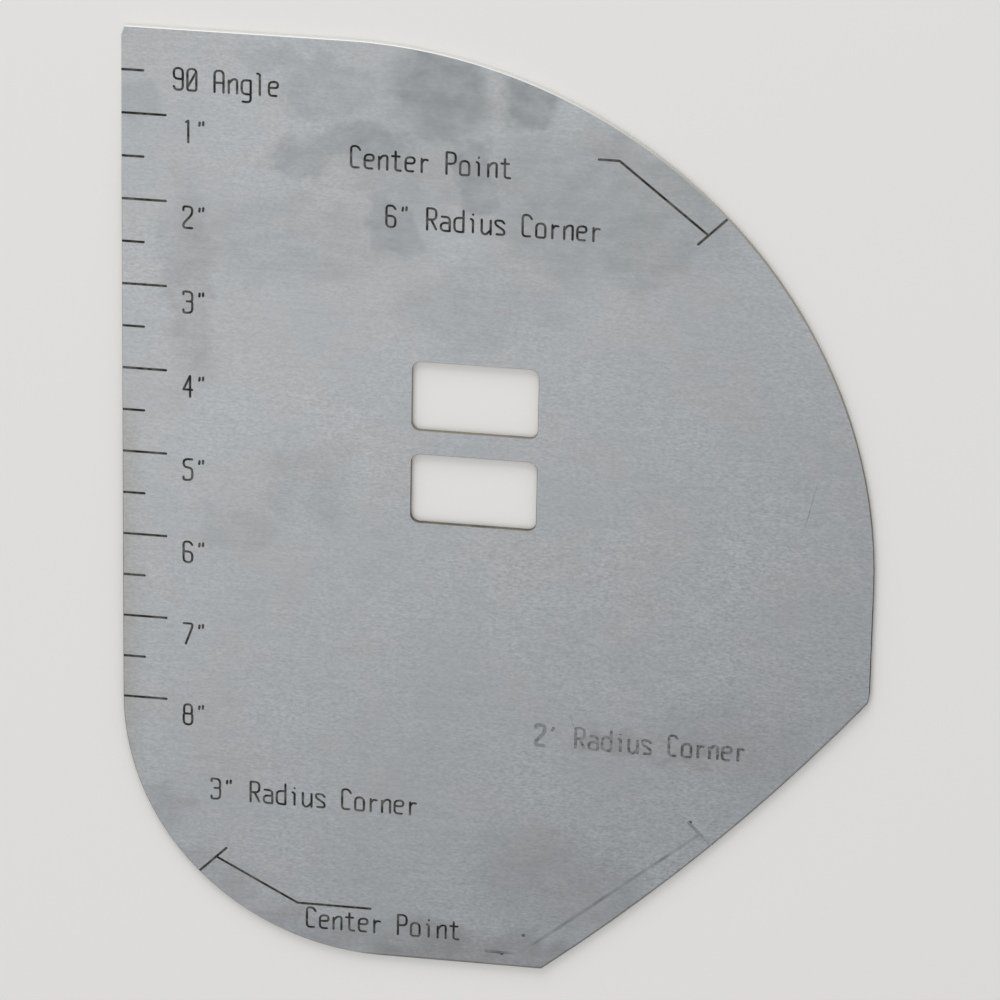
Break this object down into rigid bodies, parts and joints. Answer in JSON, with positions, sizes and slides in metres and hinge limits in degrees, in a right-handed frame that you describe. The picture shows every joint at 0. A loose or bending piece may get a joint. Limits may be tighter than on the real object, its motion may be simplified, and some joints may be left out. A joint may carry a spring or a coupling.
{
  "type": "radius template",
  "caption": "Flat sheet-steel template with one square corner, three radiused corners, an engraved inch scale, marked arc middles and two windows, for laying out and checking corner radii.",
  "frame": {"origin": "middle of the underside's bounding rectangle", "axes": "+Y along the scale towards the square corner, +X along the top edge away from it, +Z out of the engraved face"},
  "size_m": [0.216, 0.2794, 0.0016],
  "materials": {
    "sheet_steel": "mill-finish bare sheet steel, dull and cloudy from use, with laser-burnt lines"
  },
  "bodies": {
    "root": {"template_plate": "sheet_steel"}
  },
  "joints": []
}
